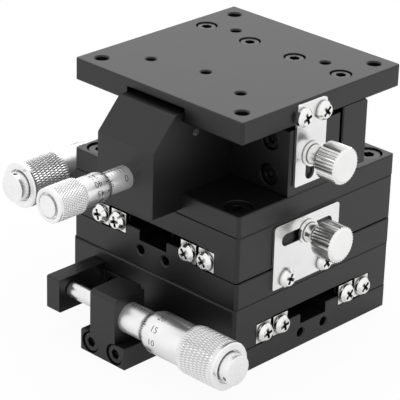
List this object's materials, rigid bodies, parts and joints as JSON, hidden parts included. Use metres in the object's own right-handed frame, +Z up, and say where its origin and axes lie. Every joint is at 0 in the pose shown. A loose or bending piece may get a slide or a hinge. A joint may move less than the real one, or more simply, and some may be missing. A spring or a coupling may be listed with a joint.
{
  "type": "xyz translation stage",
  "caption": "Manual three-axis translation stage: crossed-roller X and Y slides and a low bell-crank vertical slide, each with a micrometer and a clamp screw.",
  "frame": {"origin": "centre of the base plate's underside", "axes": "+Z up; +X along the lower slide's travel, towards its micrometer's thimble; the vertical slide's micrometer points along -Y"},
  "size_m": [0.092, 0.1092, 0.0705],
  "materials": {
    "anodised": "black anodised, satin",
    "rail_steel": "ground, hardened",
    "stainless": "bright, fine brushed",
    "satin_chrome": "satin chrome",
    "nickel": "nickel plated",
    "black_oxide": "black oxide",
    "brass": "plain"
  },
  "bodies": {
    "x_base": {"x_base": "anodised", "x_inner_rails": "rail_steel", "x_inner_stops": "stainless", "x_base_pan_screws": "nickel", "x_base_cap_screws": "black_oxide", "x_bracket": "anodised", "x_sleeve": "satin_chrome", "x_clamp_plate": "stainless", "x_spring": "rail_steel", "x_base_pin": "rail_steel"},
    "x_cage": {"x_roller_cages": "brass"},
    "middle": {"middle": "anodised", "x_outer_rails": "rail_steel", "y_inner_rails": "rail_steel", "middle_stops": "stainless", "middle_pan_screws": "nickel", "middle_cap_screws": "black_oxide", "x_anvil": "anodised", "y_bracket": "anodised", "y_sleeve": "satin_chrome", "y_clamp_plate": "stainless", "y_spring": "rail_steel", "middle_pins": "rail_steel"},
    "y_cage": {"y_roller_cages": "brass"},
    "y_table": {"y_table": "anodised", "y_outer_rails": "rail_steel", "y_outer_stops": "stainless", "y_table_pan_screws": "nickel", "y_anvil": "anodised", "z_base": "anodised", "z_fixed_cap_screws": "black_oxide", "z_column": "anodised", "z_outer_rails": "rail_steel", "z_housing": "anodised", "z_pivot_pin": "rail_steel", "z_sleeve": "satin_chrome", "z_spring": "rail_steel", "y_table_pins": "rail_steel"},
    "z_cage": {"z_roller_cages": "brass"},
    "z_table": {"z_plate": "anodised", "z_inner_rails": "rail_steel", "z_top": "anodised", "z_top_cap_screws": "black_oxide", "z_post": "rail_steel", "z_clamp_plate": "stainless", "z_clamp_pan_screws": "nickel", "z_plate_pin": "rail_steel"},
    "z_lever": {"z_lever": "rail_steel"},
    "x_spindle": {"x_spindle": "satin_chrome"},
    "y_spindle": {"y_spindle": "satin_chrome"},
    "z_spindle": {"z_spindle": "satin_chrome"},
    "x_thimble": {"x_thimble": "satin_chrome", "x_cap": "satin_chrome"},
    "y_thimble": {"y_thimble": "satin_chrome", "y_cap": "satin_chrome"},
    "z_thimble": {"z_thimble": "satin_chrome", "z_cap": "satin_chrome"},
    "x_thumb_screw": {"x_thumb_screw": "nickel"},
    "y_thumb_screw": {"y_thumb_screw": "nickel"},
    "z_thumb_screw": {"z_thumb_screw": "nickel"}
  },
  "joints": [
    {"name": "x_slide", "type": "slide", "parent": "x_base", "child": "middle", "axis": [1, 0, 0], "range_m": [-0.0065, 0.0065], "deforming": ["x_spring"]},
    {"name": "x_cage_slide", "type": "slide", "parent": "x_base", "child": "x_cage", "axis": [1, 0, 0], "range_m": [-0.00326, 0.00326]},
    {"name": "x_spindle_slide", "type": "slide", "parent": "x_base", "child": "x_spindle", "axis": [1, 0, 0], "range_m": [-0.00651, 0.00651]},
    {"name": "x_turn", "type": "hinge", "parent": "x_spindle", "child": "x_thimble", "pos_m": [0.04, -0.0425, 0.0124], "axis": [1, 0, 0], "range_deg": [-4690, 4690]},
    {"name": "x_clamp_turn", "type": "hinge", "parent": "middle", "child": "x_thumb_screw", "pos_m": [0.005, 0.0308, 0.0141], "axis": [0, 1, 0], "range_deg": [0, 360]},
    {"name": "y_slide", "type": "slide", "parent": "middle", "child": "y_table", "axis": [0, 1, 0], "range_m": [-0.0065, 0.0065], "deforming": ["y_spring"]},
    {"name": "y_cage_slide", "type": "slide", "parent": "middle", "child": "y_cage", "axis": [0, 1, 0], "range_m": [-0.00326, 0.00326]},
    {"name": "y_spindle_slide", "type": "slide", "parent": "middle", "child": "y_spindle", "axis": [0, 1, 0], "range_m": [-0.00651, 0.00651]},
    {"name": "y_turn", "type": "hinge", "parent": "y_spindle", "child": "y_thimble", "pos_m": [-0.0425, -0.04, 0.0324], "axis": [0, 1, 0], "range_deg": [-4690, 4690]},
    {"name": "y_clamp_turn", "type": "hinge", "parent": "y_table", "child": "y_thumb_screw", "pos_m": [0.0308, -0.005, 0.0341], "axis": [1, 0, 0], "range_deg": [0, 360]},
    {"name": "z_slide", "type": "slide", "parent": "y_table", "child": "z_table", "axis": [0, 0, 1], "range_m": [-0.0009, 0.0051], "deforming": ["z_spring"]},
    {"name": "z_cage_slide", "type": "slide", "parent": "y_table", "child": "z_cage", "axis": [0, 0, 1], "range_m": [-0.00046, 0.00255]},
    {"name": "z_spindle_slide", "type": "slide", "parent": "y_table", "child": "z_spindle", "axis": [0, 1, 0], "range_m": [-0.0009, 0.00511]},
    {"name": "z_lever_turn", "type": "hinge", "parent": "y_table", "child": "z_lever", "pos_m": [0, -0.0254, 0.0607], "axis": [1, 0, 0], "range_deg": [-4.66, 26.34]},
    {"name": "z_turn", "type": "hinge", "parent": "z_spindle", "child": "z_thimble", "pos_m": [0, -0.06, 0.0496], "axis": [0, 1, 0], "range_deg": [-650, 3680]},
    {"name": "z_clamp_turn", "type": "hinge", "parent": "y_table", "child": "z_thumb_screw", "pos_m": [0.0308, -0.0052, 0.0559], "axis": [1, 0, 0], "range_deg": [0, 360]}
  ],
  "couplings": [
    {"joint": "x_spindle_slide", "follows": "x_slide", "ratio": 1},
    {"joint": "x_cage_slide", "follows": "x_slide", "ratio": 0.5},
    {"joint": "x_turn", "follows": "x_slide", "rad_per_m": 12566},
    {"joint": "y_spindle_slide", "follows": "y_slide", "ratio": 1},
    {"joint": "y_cage_slide", "follows": "y_slide", "ratio": 0.5},
    {"joint": "y_turn", "follows": "y_slide", "rad_per_m": 12566},
    {"joint": "z_spindle_slide", "follows": "z_slide", "ratio": 1},
    {"joint": "z_cage_slide", "follows": "z_slide", "ratio": 0.5},
    {"joint": "z_lever_turn", "follows": "z_slide", "rad_per_m": 90.09},
    {"joint": "z_turn", "follows": "z_slide", "rad_per_m": 12566}
  ]
}
